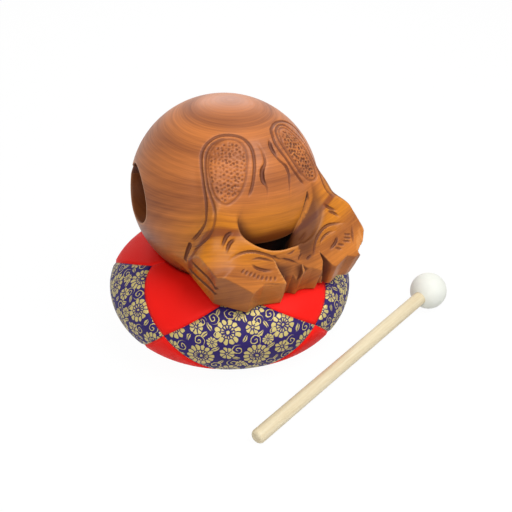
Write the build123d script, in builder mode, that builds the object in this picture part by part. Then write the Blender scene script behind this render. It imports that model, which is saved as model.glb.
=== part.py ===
from build123d import *
import math
import os

# Mokugyo set: a carved wooden fish on its patchwork cushion, with the mallet lying in front.
# Millimetres, +Z up, origin on the floor under the middle of the cushion.
# The handle of the fish points to -Y. Nothing here is read from another file.

# Fish body
BODY_RADIUS = 60.0
WALL = 9.5
PITCH = 22.0
FISH_BACK = 4.0
BODY_LIFT = 36.0

# Handle, carved in front of the body: plan sizes run from the body's middle toward the handle
HANDLE_BOTTOM = -15.0
HANDLE_TOP = 48.0
ARM_HALF = 26.0
ARM_REACH = 29.0
REAR_HALF = 47.0
REAR_REACH = 36.0
CHEEK_HALF = 51.0
CHEEK_REACH = 70.0
CHEEK_HEIGHT = 15.5
CHEEK_FALL = 78.0
CHEEK_RISE = 47.5
SNOUT_HALF = 29.5
SNOUT_REACH = 82.0
LIP_HALF = 24.5
LIP_REACH = 80.0
NOSE_HALF = 9.0
NOSE_REACH = 84.0
NOTCH_HALF = 6.5
NOTCH_REACH = 79.0
PEARL_HALF = 3.5
PEARL_REACH = 83.5
SLOPE_HEIGHT = 1.5
SLOPE_ANGLE = 39.0
SLOPE_CANT = 9.8

# Finger opening between the belly and the bridge of the handle
FINGER_HALF = 24.0
FINGER_START = 44.0
FINGER_REACH = 71.0

# Sound slit: a hole in each side, joined round the back by a saw cut
HOLE_ANGLE = 111.0
HOLE_WIDTH = 34.0
HOLE_TALL = 32.0
SLIT_WIDTH = 6.0
SLIT_DROP = 0.5

# Carved lines
PANEL_CENTRE = (23.0, 24.0, 49.0)
PANEL_LONG = 20.5
PANEL_WIDE = 14.5
PANEL_LEAN = 24.0
GROOVE_WIDTH = 1.8
GROOVE_DEPTH = 1.1
PANEL_RIM = 3.4
FIN_TALL = 1.8
FIN_DEPTH = 1.6
FIN_LENGTH = 24.0
FIN_STEP = 4.8
FIN_COUNT = 3
EYE_LENGTH = 10.0
EYE_ROUND = 8.0
EYE_DEPTH = 1.5
EYE_HALF = 22.0
EYE_REACH = 72.0

# Cushion
CUSHION_RADIUS = 80.5
CUSHION_EQUATOR = 29.0
CUSHION_CROWN = 54.5
CROWN_RADIUS = 47.0
BASE_RADIUS = 52.0
CLOTH = 1.2
SEAM_DEPTH = 0.7
SEAM_WIDTH = 1.2
STUFFING_EASE = 0.2
PATCHES_ROUND = 5
FIRST_SEAM = -84.0
SEAM_TIP_RADIUS = 54.0
SEAM_DIP = 10.0
SEAT_CLEARANCE = 0.3

# Mallet
HEAD_RADIUS = 12.5
STICK_RADIUS = 4.5
STICK_REACH = 184.0
BUTT_ROUND = 2.5
SOCKET_DEPTH = 16.0
GLUE_GAP = 0.1
HEAD_PLACE = (118.0, -70.0)
MALLET_TURN = 194.5

PATCH_STEP = 360.0 / PATCHES_ROUND
FISH_CENTRE = (0.0, FISH_BACK, BODY_LIFT + BODY_RADIUS)
LEAN = math.radians(PITCH)
FISH_FRAME = Plane(
    origin=FISH_CENTRE,
    x_dir=(1, 0, 0),
    z_dir=(0, -math.sin(LEAN), math.cos(LEAN)),
)


def hand_in(block, name):
    """Label one finished piece and write it as its own STEP file."""
    block.part.label = name
    export_step(block.part, f"parts/{name}.step")


def crown_height(radius):
    """Height of the cushion's upper side at this distance from its axis."""
    share = (radius - CROWN_RADIUS) / (CUSHION_RADIUS - CROWN_RADIUS)
    return CUSHION_EQUATOR + (CUSHION_CROWN - CUSHION_EQUATOR) * math.sqrt(1 - share**2)


def round_point(angle, radius, height):
    """A point of the cushion by its angle, distance from the axis and height."""
    turn = math.radians(angle)
    return Vector(radius * math.cos(turn), radius * math.sin(turn), height)


def seam_plane(angle, side):
    """Plane of the slanted seam from its crossing at this angle to the tip beside it, facing up."""
    crossing = round_point(angle, CUSHION_RADIUS, CUSHION_EQUATOR)
    tip = round_point(angle + side * PATCH_STEP / 2, SEAM_TIP_RADIUS, crown_height(SEAM_TIP_RADIUS))
    under = Vector(0, 0, CUSHION_EQUATOR - SEAM_DIP)
    normal = (crossing - under).cross(tip - under) * side
    return Plane(origin=crossing, x_dir=crossing - under, z_dir=normal)


def upright_plane(angle, side):
    """Upright plane through the cushion's axis, facing round to one side of this angle."""
    turn = math.radians(angle)
    facing = Vector(-math.sin(turn), math.cos(turn), 0) * side
    return Plane(origin=(0, 0, CUSHION_EQUATOR), x_dir=(0, 0, 1), z_dir=facing)


def flipped(plane):
    """The same plane facing the other way."""
    return Plane(origin=plane.origin, x_dir=plane.x_dir, z_dir=-plane.z_dir)


def lower(plane):
    """The plane mirrored about the cushion's widest level, facing up."""
    normal = plane.z_dir
    return Plane(origin=plane.origin, x_dir=plane.x_dir, z_dir=(-normal.X, -normal.Y, normal.Z))


def cushion_form(inset):
    """The stuffed form: flat base, round sides, crown and the bowl that the fish sits in."""
    with BuildPart() as form:
        with BuildSketch(Plane.XZ):
            with BuildLine():
                side_lower = EllipticalCenterArc(
                    (BASE_RADIUS, CUSHION_EQUATOR),
                    CUSHION_RADIUS - BASE_RADIUS - inset,
                    CUSHION_EQUATOR - inset,
                    start_angle=270,
                    arc_size=90,
                )
                side_upper = EllipticalCenterArc(
                    (CROWN_RADIUS, CUSHION_EQUATOR),
                    CUSHION_RADIUS - CROWN_RADIUS - inset,
                    CUSHION_CROWN - CUSHION_EQUATOR - inset,
                    start_angle=0,
                    arc_size=90,
                )
                Polyline(
                    side_upper @ 1,
                    (0, CUSHION_CROWN - inset),
                    (0, inset),
                    side_lower @ 0,
                )
            make_face()
        revolve(axis=Axis.Z)
        with Locations(FISH_CENTRE):
            Sphere(BODY_RADIUS + SEAT_CLEARANCE + inset, mode=Mode.SUBTRACT)
    return form.part


def sewn_patch(name, drawn_seams, flat_seams=()):
    """One cloth patch: drawn in along its seams, apart from those that lie pressed flat."""
    with BuildPart() as outer:
        add(cover_outer)
        for seam in drawn_seams:
            split(bisect_by=seam.offset(SEAM_WIDTH), keep=Keep.TOP)
        for seam in flat_seams:
            split(bisect_by=seam, keep=Keep.TOP)
    with BuildPart() as patch:
        add(cover_inner)
        for seam in (*drawn_seams, *flat_seams):
            split(bisect_by=seam, keep=Keep.TOP)
        add(outer.part)
    hand_in(patch, name)


os.makedirs("parts", exist_ok=True)

# Cushion: stuffing, then the sewn cover in fifteen patches
full_form = cushion_form(0)
seam_form = cushion_form(SEAM_DEPTH)
lining_form = cushion_form(CLOTH)
cover_outer = full_form - seam_form
cover_inner = seam_form - lining_form

with BuildPart() as stuffing:
    add(cushion_form(CLOTH + STUFFING_EASE))
hand_in(stuffing, "stuffing")

level = Plane.XY.offset(CUSHION_EQUATOR)
for number in range(PATCHES_ROUND):
    seam = FIRST_SEAM + number * PATCH_STEP
    mid = PATCH_STEP / 2
    rising = seam_plane(seam, 1)
    falling = seam_plane(seam, -1)
    sides = [upright_plane(seam - mid, 1), upright_plane(seam + mid, -1)]
    next_falling = seam_plane(seam + PATCH_STEP, -1)
    sewn_patch(f"red_top_patch_{number + 1}", [level, rising, falling] + sides)
    sewn_patch(
        f"brocade_patch_{number + 1}",
        [flipped(rising), flipped(next_falling), lower(rising), lower(next_falling)],
    )
    sewn_patch(
        f"red_base_patch_{number + 1}",
        [flipped(level), flipped(lower(rising)), flipped(lower(falling))],
        flat_seams=sides,
    )

# Handle of the fish, one half drawn and mirrored: two heads face each other across a pearl
with BuildPart() as handle:
    with BuildSketch(Plane.XY.offset(HANDLE_BOTTOM)):
        with BuildLine():
            Polyline(
                (0, -ARM_REACH),
                (ARM_HALF, -ARM_REACH),
                (REAR_HALF, -REAR_REACH),
                (CHEEK_HALF, -CHEEK_REACH),
                (SNOUT_HALF, -SNOUT_REACH),
                (LIP_HALF, -LIP_REACH),
                (NOSE_HALF, -NOSE_REACH),
                (NOTCH_HALF, -NOTCH_REACH),
                (PEARL_HALF, -PEARL_REACH),
                (0, -PEARL_REACH),
                close=True,
            )
        make_face()
    extrude(amount=HANDLE_TOP - HANDLE_BOTTOM)
    slope = math.radians(SLOPE_ANGLE)
    cant = math.radians(SLOPE_CANT)
    top_face = Plane(
        origin=(SNOUT_HALF, -SNOUT_REACH, SLOPE_HEIGHT),
        x_dir=(1, 0, math.tan(cant)),
        z_dir=(-math.tan(cant), -math.tan(slope), 1),
    )
    split(bisect_by=top_face, keep=Keep.BOTTOM)
    cheek_fall = math.tan(math.radians(CHEEK_FALL))
    cheek_rise = math.tan(math.radians(CHEEK_RISE))
    cheek_face = Plane(
        origin=(CHEEK_HALF, -CHEEK_REACH, CHEEK_HEIGHT),
        x_dir=(1, 0, -cheek_fall),
        z_dir=(cheek_fall, cheek_rise, 1),
    )
    split(bisect_by=cheek_face, keep=Keep.BOTTOM)
    # fins along the side of the head, one above another
    rear = Vector(REAR_HALF, -REAR_REACH, 0)
    cheek = Vector(CHEEK_HALF, -CHEEK_REACH, 0)
    fin_face = Plane(
        origin=(rear + cheek) * 0.5 + Vector(0, 0, HANDLE_BOTTOM),
        x_dir=rear - cheek,
        z_dir=Vector(0, 0, 1).cross(cheek - rear),
    )
    with BuildSketch(fin_face):
        for row in range(FIN_COUNT):
            with Locations((0, FIN_STEP * (row + 1))):
                SlotOverall(FIN_LENGTH, FIN_TALL)
    extrude(amount=-FIN_DEPTH, mode=Mode.SUBTRACT)
    # eye, an almond where two rounds cross
    eye_height = SLOPE_HEIGHT + (SNOUT_REACH - EYE_REACH) * math.tan(slope)
    eye_height += (EYE_HALF - SNOUT_HALF) * math.tan(cant)
    eye_face = Plane(
        origin=(EYE_HALF, -EYE_REACH, eye_height),
        x_dir=top_face.x_dir,
        z_dir=top_face.z_dir,
    )
    eye_offset = math.sqrt(EYE_ROUND**2 - (EYE_LENGTH / 2) ** 2)
    with BuildSketch(eye_face):
        with Locations((0, eye_offset)):
            Circle(EYE_ROUND)
        with Locations((0, -eye_offset)):
            Circle(EYE_ROUND, mode=Mode.INTERSECT)
    extrude(amount=-EYE_DEPTH, mode=Mode.SUBTRACT)
    mirror(about=Plane.YZ)
    with BuildSketch(Plane.XY.offset(HANDLE_BOTTOM)):
        with BuildLine():
            EllipticalCenterArc(
                (0, -FINGER_START),
                FINGER_HALF,
                FINGER_REACH - FINGER_START,
                start_angle=180,
                arc_size=180,
            )
            Polyline(
                (FINGER_HALF, -FINGER_START),
                (FINGER_HALF, 0),
                (-FINGER_HALF, 0),
                (-FINGER_HALF, -FINGER_START),
            )
        make_face()
    extrude(amount=HANDLE_TOP - HANDLE_BOTTOM, mode=Mode.SUBTRACT)

# Carved lines, cut to one depth under the round of the body
with BuildPart() as panel_grooves:
    for side in (-1, 1):
        outward = Vector(side * PANEL_CENTRE[0], -PANEL_CENTRE[1], PANEL_CENTRE[2])
        level = Vector(0, 0, 1).cross(outward).normalized()
        face = Plane(origin=(0, 0, 0), x_dir=level, z_dir=outward)
        with BuildSketch(face):
            for inset in (0, PANEL_RIM):
                wide = PANEL_WIDE - inset
                tall = PANEL_LONG - inset
                Ellipse(wide, tall, rotation=side * PANEL_LEAN)
                Ellipse(
                    wide - GROOVE_WIDTH,
                    tall - GROOVE_WIDTH,
                    rotation=side * PANEL_LEAN,
                    mode=Mode.SUBTRACT,
                )
        extrude(amount=BODY_RADIUS + GROOVE_DEPTH)
    Sphere(BODY_RADIUS - GROOVE_DEPTH, mode=Mode.SUBTRACT)

with BuildPart() as carved_fish:
    Sphere(BODY_RADIUS)
    add(handle.part)
    add(panel_grooves.part, mode=Mode.SUBTRACT)
    Sphere(BODY_RADIUS - WALL, mode=Mode.SUBTRACT)
    # side holes and the saw cut that joins them round the back
    for side in (-1, 1):
        turn = math.radians(HOLE_ANGLE)
        outward = Vector(side * math.sin(turn), -math.cos(turn), 0)
        hole_face = Plane(origin=(0, 0, -SLIT_DROP), x_dir=(0, 0, 1), z_dir=outward)
        with BuildSketch(hole_face):
            Ellipse(HOLE_TALL / 2, HOLE_WIDTH / 2)
        extrude(amount=BODY_RADIUS * 1.2, mode=Mode.SUBTRACT)
    back = -BODY_RADIUS * math.cos(math.radians(HOLE_ANGLE))
    with Locations((0, back, -SLIT_DROP)):
        Box(
            BODY_RADIUS * 3,
            BODY_RADIUS * 3,
            SLIT_WIDTH,
            align=(Align.CENTER, Align.MIN, Align.CENTER),
            mode=Mode.SUBTRACT,
        )

with BuildPart(FISH_FRAME) as wooden_fish:
    add(carved_fish.part)
hand_in(wooden_fish, "wooden_fish")

# Mallet: it lies on its ball head and on the butt of the stick
fall = math.asin((HEAD_RADIUS - STICK_RADIUS) / STICK_REACH)
heading = math.radians(MALLET_TURN)
along_stick = Vector(
    math.cos(heading) * math.cos(fall),
    math.sin(heading) * math.cos(fall),
    -math.sin(fall),
)
MALLET_FRAME = Plane(
    origin=(HEAD_PLACE[0], HEAD_PLACE[1], HEAD_RADIUS),
    x_dir=(-math.sin(heading), math.cos(heading), 0),
    z_dir=along_stick,
)
socket_floor = HEAD_RADIUS - SOCKET_DEPTH

with BuildPart() as mallet_stick:
    with BuildSketch(MALLET_FRAME.offset(socket_floor + GLUE_GAP)):
        Circle(STICK_RADIUS)
    extrude(amount=STICK_REACH - socket_floor - GLUE_GAP)
    butt = mallet_stick.faces().filter_by(GeomType.PLANE).sort_by(Axis.X)[0]
    fillet(butt.edges(), radius=BUTT_ROUND)
hand_in(mallet_stick, "mallet_stick")

with BuildPart(MALLET_FRAME) as mallet_head:
    Sphere(HEAD_RADIUS)
    with BuildSketch(MALLET_FRAME.offset(socket_floor)):
        Circle(STICK_RADIUS + GLUE_GAP)
    extrude(amount=SOCKET_DEPTH * 2, mode=Mode.SUBTRACT)
hand_in(mallet_head, "mallet_head")
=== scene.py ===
"""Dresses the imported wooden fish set: the carved fish, its sewn cushion and the ball mallet."""

import itertools
import math

import bpy
import numpy as np
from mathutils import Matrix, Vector


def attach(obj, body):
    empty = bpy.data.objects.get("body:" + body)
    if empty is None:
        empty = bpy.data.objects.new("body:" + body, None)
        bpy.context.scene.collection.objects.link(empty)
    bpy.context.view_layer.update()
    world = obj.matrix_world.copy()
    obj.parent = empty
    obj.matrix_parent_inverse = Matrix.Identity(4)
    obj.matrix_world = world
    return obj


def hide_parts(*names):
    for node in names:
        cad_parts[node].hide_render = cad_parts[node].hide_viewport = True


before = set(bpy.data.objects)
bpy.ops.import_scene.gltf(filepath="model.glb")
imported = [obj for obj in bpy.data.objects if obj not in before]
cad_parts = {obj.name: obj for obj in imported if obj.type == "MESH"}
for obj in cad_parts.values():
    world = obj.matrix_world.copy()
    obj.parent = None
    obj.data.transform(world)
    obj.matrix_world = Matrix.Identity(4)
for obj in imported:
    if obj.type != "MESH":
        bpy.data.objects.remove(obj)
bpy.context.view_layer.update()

MM = 0.001

# The fish's own frame, in mm from the body's centre: x across, f to the handle, z up to the crown.
PITCH = math.radians(22.0)
FISH_BACK = 4.0
FISH_HEIGHT = 96.0
BODY_RADIUS = 60.0
CROWN_FLAT = 1.02

# The sound hollow, its two side holes and the slit.
WALL = 9.5
HOLE_ANGLE = math.radians(106.0)
HOLE_HALF = (20.0, 16.0)
HOLE_START = 20.0
SLIT_HALF = 3.0
SLIT_FRONT = -18.0

# Front outline of the handle's plan, from the left cheek to the right one.
FRONT = np.array([
    (-53.0, 64.6), (-30.8, 81.3), (-22.0, 79.4), (-7.4, 83.4), (-5.0, 77.0), (0.1, 78.2), (4.5, 81.5),
    (8.0, 80.0), (12.5, 80.5), (19.0, 83.0), (21.5, 79.0), (24.4, 80.5), (30.3, 83.5), (39.1, 80.8),
    (44.2, 83.3), (49.0, 82.8), (54.0, 73.0),
])
HANDLE_BOTTOM = -17.0
HANDLE_BACK = 6.0

# The two heads. A pair holds the left one's value and the right one's.
FRONT_LEAN = (0.17, 0.1)
CHEEK_HALF = (48.5, 49.3)
CHEEK_FLARE = (0.14, 0.17)
CHEEK_TAPER = (0.08, -0.117)
CHEEK_SQUARE = 0.993
CHEEK_REACH = 68.6
CHEEK_REACH_FLARE = 0.22
FLARE_LIMIT = 20.0
EAR_FOOT = 5.0
EAR_TOP = 13.0
EAR_OUT = 2.6
EAR_NOTCH = 4.5
EAR_NOTCH_WIDTH = 3.5
SNOUT_ACROSS = 29.5
SNOUT_REACH = 82.0
SNOUT_TOP = 1.5
HEAD_SLOPE = 0.81
HEAD_SLOPE_LENGTH = 1.298
HEAD_TILT = (0.027, 0.07)
HEAD_TROUGH = (0.147, 0.19)
TROUGH_ROUND = 5.0
HEAD_SOFT_TO = (66, 46)
HEAD_SHARP_FROM = (73, 62)
SOFTEST_EDGE = 9.0
SHARPEST_EDGE = 0.8

# The arms: how far they stand out of the body, from their roots forward.
ARM_ROOT = -4.4
ARM_RISE = 6.4
ARM_LIFT_FROM = 25
ARM_LIFT = 40
ARM_FULLEST = 3.0

# Slanting outer faces: a point, the steepness across and along, and the length of that slope.
ARM_BEVEL = ((51.0, 70.0, 15.5), (4.71, -1.09), 4.94)
LEFT_BEVEL = ((51.0, 70.0, 11.5), (0.8, 0.0), 1.28)
RIGHT_BEVEL = ((53.5, 72.0, 17.5), (3.0, -0.35), 3.18)

# The finger hole, its raised rim, its sloping right wall and the recess behind it.
FINGER_HALF = 27.3
FINGER_MIDDLE = 50.4
FINGER_FRONT = 19.0
FINGER_BACK = 15.0
RIM_RISE = 4.0
RIM_OUT = 2.0
RIM_WIDTH = 5.0
SLANT_FOOT = (10.0, 58.0, 11.7)
SLANT_STEEP = (1.3, 0.6)
SLANT_BULGE = 0.037
SLANT_LENGTH = 1.6
SLANT_START = 9.5
POCKET_FLOOR = 53.0
POCKET_LIP = 12.0


def smooth_min(a, b, soft):
    """The smaller of two distances, rounded over this width where they meet."""
    share = np.clip(0.5 + 0.5 * (b - a) / soft, 0, 1)
    return b + (a - b) * share - soft * share * (1 - share)


def smooth_max(a, b, soft):
    return -smooth_min(-a, -b, soft)


def ease(low, high, value):
    """0 at low, 1 at high, smooth between."""
    t = np.clip((value - low) / (high - low), 0, 1)
    return t * t * (3 - 2 * t)


def by_side(x, pair):
    """The left head's value or the right one's."""
    return np.where(x > 0, pair[1], pair[0])


def from_centre(x, f, z):
    """Distance from the body's centre, with the crown a little flattened."""
    return np.sqrt(x * x + f * f + np.where(z > 0, z * CROWN_FLAT, z) ** 2)


def finger_ring(x, f):
    """1 on the oval edge of the finger hole and less inside it."""
    length = np.where(f > FINGER_MIDDLE, FINGER_FRONT, FINGER_BACK)
    return np.sqrt((x / FINGER_HALF) ** 2 + ((f - FINGER_MIDDLE) / length) ** 2)


def finger_edge(x, f):
    """Distance outwards from the finger hole's edge."""
    return (finger_ring(x, f) - 1) * FINGER_HALF


def past_cheeks(x, f, z):
    """Distance past the heads' outer sides. They flare upwards, and the right one has an ear."""
    lift = np.clip(z, -FLARE_LIMIT, FLARE_LIMIT)
    notch = EAR_NOTCH * np.exp(-(((z - EAR_FOOT) / EAR_NOTCH_WIDTH) ** 2))
    ear = EAR_OUT * ease(EAR_FOOT, EAR_TOP, z) - notch
    half = by_side(x, CHEEK_HALF) + by_side(x, CHEEK_FLARE) * lift + by_side(x, (0.0, ear))
    reach = CHEEK_REACH + CHEEK_REACH_FLARE * lift
    return CHEEK_SQUARE * (np.abs(x) - half) + by_side(x, CHEEK_TAPER) * (f - reach)


def past_front(x, f, z):
    """Distance past the teeth's outline, square to each of its faces."""
    lift = np.clip(z, -FLARE_LIMIT, FLARE_LIMIT)
    outline = np.interp(x, FRONT[:, 0], FRONT[:, 1])
    reach = outline + by_side(x, FRONT_LEAN) * lift * ease(28, 50, np.abs(x))
    runs = np.diff(FRONT, axis=0)
    middles = FRONT[:-1, 0] + runs[:, 0] / 2
    turn = np.interp(x, middles, runs[:, 1] / runs[:, 0])
    return (f - reach) / np.sqrt(1 + np.clip(turn, -1.2, 1.2) ** 2)


def past_tops(x, f, z):
    """Distance past the heads' sloping tops, with a trough along each and a rim round the finger hole."""
    rim = RIM_RISE * np.exp(-(((finger_edge(x, f) - RIM_OUT) / RIM_WIDTH) ** 2)) * ease(50, 66, f)
    away = np.abs(x) - SNOUT_ACROSS
    trough = np.sqrt(away ** 2 + TROUGH_ROUND ** 2) - TROUGH_ROUND
    rise = by_side(x, HEAD_TILT) * away + by_side(x, HEAD_TROUGH) * trough
    return (z - SNOUT_TOP - (SNOUT_REACH - f) * HEAD_SLOPE - rise - rim) / HEAD_SLOPE_LENGTH


def past_bevel(across, f, z, bevel):
    at, steep, length = bevel
    return (steep[0] * (across - at[0]) + steep[1] * (f - at[1]) + z - at[2]) / length


def past_bevels(x, f, z):
    """Distance past the slanting faces outside the arms and, further forward, outside the heads."""
    across = np.abs(x)
    arm = past_bevel(across, f, z, ARM_BEVEL)
    heads = [past_bevel(across, f, z, bevel) for bevel in (LEFT_BEVEL, RIGHT_BEVEL)]
    share = by_side(x, (ease(40, 56, f), ease(47, 60, f))) * ease(0, 10, across)
    fuller = np.clip(0.7 + (52 - f) * 0.072, 0, ARM_FULLEST)
    return arm + (by_side(x, heads) - arm) * share - fuller


def finger_opening(x, f, z):
    """Distance to the finger hole, less what its sloping right wall fills."""
    ahead = SLANT_STEEP[1] * (f - SLANT_FOOT[1])
    away = x - SLANT_FOOT[0]
    slope = (z - SLANT_FOOT[2] - SLANT_STEEP[0] * away + ahead + SLANT_BULGE * away ** 2) / SLANT_LENGTH
    return smooth_max(finger_edge(x, f), -smooth_max(slope, SLANT_START - ahead - x, 3.0), 2.0)


def handle_distance(x, f, z, radial):
    """Distance to the block of the two heads and their arms, with the finger hole cut out."""
    proud = ARM_RISE * ease(2, 26, f) + ARM_ROOT + np.maximum(f - ARM_LIFT_FROM, 0) ** 2 / ARM_LIFT
    sharp = ease(by_side(x, HEAD_SOFT_TO), by_side(x, HEAD_SHARP_FROM), f)
    soft = SOFTEST_EDGE - (SOFTEST_EDGE - SHARPEST_EDGE) * sharp
    upper = smooth_max(past_tops(x, f, z), past_bevels(x, f, z), soft)
    upper = smooth_max(upper, radial - BODY_RADIUS - proud, 3.0)
    block = smooth_max(past_cheeks(x, f, z), past_front(x, f, z), 0.3)
    block = smooth_max(block, HANDLE_BOTTOM - z, 0.8)
    block = np.maximum(smooth_max(block, upper, 0.5), HANDLE_BACK - f)
    return smooth_max(block, -finger_opening(x, f, z), 2.0 + 8.0 * ease(5, 20, x))


def finger_pocket(x, f, z, radial):
    """The recess under the belly, behind the handle's bridge, where the fingers go."""
    lip = z - POCKET_LIP - SLANT_STEEP[0] * np.maximum(x - SLANT_FOOT[0], 0)
    pocket = np.maximum(np.maximum(lip * 0.6, finger_edge(x, f)), POCKET_FLOOR - radial)
    return np.maximum(pocket, HANDLE_BOTTOM - z)


# Flat chisel cuts on the front, each a few planes by point and direction: what is past them all is gone.
CHISEL_CUTS = (
    (((-11.5, 72.3, 10.0), (-0.226, 0.925, 0.303)), ((-11.7, 72.4, 10.5), (0.95, -0.25, 0.10)),
     ((5.8, 76.7, 9.3), (-0.97, 0.0, 0.21))),
    (((5.7, 76.8, 9.0), (-0.355, 0.873, 0.332)), ((5.6, 76.7, 9.3), (0.97, -0.20, 0.075)),
     ((12.3, 81.2, 4.5), (-0.75, 0.0, -0.66))),
    (((20.6, 74.0, 12.0), (-0.78, 0.62, -0.04)), ((20.4, 73.1, 10.3), (0.95, 0.0, 0.2))),
)


def form_distance(x, f, z):
    """The fish before it is hollowed and cut with strokes."""
    radial = from_centre(x, f, z)
    handle = handle_distance(x, f, z, radial)
    body = smooth_max(radial - BODY_RADIUS, -finger_pocket(x, f, z, radial), 0.8)
    for cut in CHISEL_CUTS:
        beyond = None
        for at, way in cut:
            past = (x - at[0]) * way[0] + (f - at[1]) * way[1] + (z - at[2]) * way[2]
            beyond = past if beyond is None else np.minimum(beyond, past)
        handle = smooth_max(handle, beyond, 0.35)
    return smooth_min(body, handle, 1.2 + 3.0 * (1 - ease(40, 55, f)))


def hollowed(distance, x, f, z):
    """Takes out the sound hollow, its two side holes and the slit that joins them round the back."""
    radial = from_centre(x, f, z)
    across = np.abs(x)
    along = across * math.sin(HOLE_ANGLE) + f * math.cos(HOLE_ANGLE)
    over = f * math.sin(HOLE_ANGLE) - across * math.cos(HOLE_ANGLE)
    mouth = (np.sqrt((over / HOLE_HALF[0]) ** 2 + (z / HOLE_HALF[1]) ** 2) - 1) * HOLE_HALF[1]
    mouth = np.maximum(mouth, HOLE_START - along)
    slit = np.maximum(np.abs(z) - SLIT_HALF, f - SLIT_FRONT)
    inside = np.minimum(np.minimum(radial - BODY_RADIUS + WALL, mouth), slit)
    return smooth_max(distance, -inside, 1.2)


def gradient(function, points, step=0.25):
    """Unit slope of a distance at each point."""
    slopes = []
    for axis in np.eye(3):
        ahead = function(*(points + axis * step).T)
        behind = function(*(points - axis * step).T)
        slopes.append(ahead - behind)
    slopes = np.stack(slopes, 1)
    return slopes / np.maximum(np.linalg.norm(slopes, axis=1, keepdims=True), 1e-9)


def onto_form(points):
    """Moves points onto the uncarved surface and gives the surface's slope there."""
    points = np.array(points, float)
    for _ in range(4):
        slope = gradient(form_distance, points)
        points = points - slope * form_distance(*points.T)[:, None]
    return points, gradient(form_distance, points)


def curved(points, parts=6):
    """A smooth line through the points."""
    points = np.array(points, float)
    padded = np.vstack([2 * points[0] - points[1], points, 2 * points[-1] - points[-2]])
    t = np.linspace(0, 1, parts, endpoint=False)[:, None]
    line = []
    for a, b, c, d in zip(padded, padded[1:], padded[2:], padded[3:]):
        line.append(0.5 * (2 * b + (c - a) * t + (2 * a - 5 * b + 4 * c - d) * t ** 2
                           + (3 * b - a - 3 * c + d) * t ** 3))
    return np.vstack([*line, points[-1:]])


class Stroke:
    """A gouge's cut along a line on the surface: round in section, shallower towards its ends."""

    EDGE = 0.3
    MARGIN = 2.0

    def __init__(self, points, radius, depth, fade=0.15):
        line, slope = onto_form(curved(points) if len(points) > 1 else points)
        share = np.ones(len(line))
        if len(line) > 1:
            t = np.linspace(0, 1, len(line))
            share = np.sin(np.clip(np.minimum(t, 1 - t) / fade, 0, 1) * math.pi / 2)
        lift = radius - depth * share
        self.line = line + slope * lift[:, None]
        self.radius = radius
        self.low = self.line.min(0) - radius - self.MARGIN
        self.high = self.line.max(0) + radius + self.MARGIN

    def cut(self, distance, x, f, z):
        nearest = None
        starts = self.line[:-1] if len(self.line) > 1 else self.line
        ends = self.line[1:] if len(self.line) > 1 else self.line
        for a, b in zip(starts, ends):
            run = b - a
            length = max(float(run @ run), 1e-9)
            t = ((x - a[0]) * run[0] + (f - a[1]) * run[1] + (z - a[2]) * run[2]) / length
            t = np.clip(t, 0, 1)
            gap = (x - a[0] - t * run[0]) ** 2 + (f - a[1] - t * run[1]) ** 2
            gap = gap + (z - a[2] - t * run[2]) ** 2
            nearest = gap if nearest is None else np.minimum(nearest, gap)
        return smooth_max(distance, self.radius - np.sqrt(nearest), self.EDGE)


# The carving, as lines on the surface in the fish's own frame.
LEFT_RIM = (
    (-18.8, 41.5, 38.4), (-15.4, 39.0, 42.1), (-11.9, 34.3, 46.8), (-8.9, 28.8, 50.9), (-7.0, 22.3, 54.6),
    (-7.7, 16.8, 57.0), (-10.0, 11.8, 57.8), (-15.2, 7.5, 57.1), (-21.2, 5.1, 55.4), (-27.5, 5.5, 52.6),
    (-32.5, 8.5, 49.4), (-35.8, 14.5, 45.9), (-37.7, 20.3, 42.7), (-39.1, 26.2, 38.5), (-40.4, 32.0, 34.1),
    (-41.9, 35.9, 30.1), (-43.3, 38.9, 26.1), (-44.6, 39.4, 20.5), (-46.5, 38.3, 13.4), (-48.2, 36.6, 7.1),
)
LEFT_INNER_RIM = (
    (-16.3, 9.4, 56.6), (-21.9, 7.8, 54.9), (-26.8, 8.1, 52.7), (-31.1, 10.9, 50.1), (-34.4, 16.2, 47.0),
    (-36.6, 22.4, 43.3), (-37.7, 27.9, 39.6), (-38.0, 32.7, 37.1), (-38.8, 38.4, 34.6), (-40.2, 42.8, 31.0),
    (-42.4, 45.6, 25.1), (-45.3, 46.1, 19.0), (-47.6, 43.7, 11.8), (-48.2, 39.7, 4.4),
)
LEFT_SCALES = (
    (-29.4, 11.4, 51.1), (-23.3, 8.8, 54.3), (-16.6, 10.0, 56.5), (-12.2, 14.1, 57.0), (-10.8, 19.5, 55.4),
    (-11.9, 24.9, 52.5), (-13.8, 28.3, 50.2), (-16.9, 33.6, 45.9), (-21.4, 37.7, 41.0), (-26.1, 39.4, 37.6),
    (-31.0, 39.6, 35.9), (-34.9, 37.0, 37.1), (-35.9, 32.0, 38.4), (-35.1, 24.8, 42.5), (-33.2, 17.5, 47.1),
)
RIGHT_RIM = (
    (23.3, 42.4, 34.9), (19.6, 40.3, 39.1), (16.1, 36.3, 44.1), (13.6, 31.1, 48.5), (10.8, 25.2, 52.5),
    (9.8, 20.0, 55.3), (11.3, 14.5, 57.1), (14.1, 10.8, 57.0), (20.5, 6.7, 55.5), (30.1, 4.3, 51.3),
    (37.0, 6.5, 46.2), (40.2, 13.5, 41.9), (40.8, 20.0, 40.0), (41.0, 26.0, 37.3), (41.2, 32.0, 34.5),
    (42.0, 36.0, 31.5), (43.5, 39.0, 27.0),
)
RIGHT_INNER_RIM = (
    (23.3, 39.6, 38.2), (19.9, 35.1, 43.7), (16.7, 29.2, 48.9), (14.3, 22.6, 53.1), (14.0, 16.5, 56.0),
    (16.5, 12.4, 56.2), (21.7, 8.8, 54.9), (26.9, 8.4, 52.7), (30.8, 12.2, 50.1), (34.5, 18.5, 46.5),
    (36.8, 26.0, 42.0), (37.6, 33.0, 38.0), (37.0, 40.0, 35.4), (37.9, 47.4, 30.5), (41.7, 53.4, 27.0),
)
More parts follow.
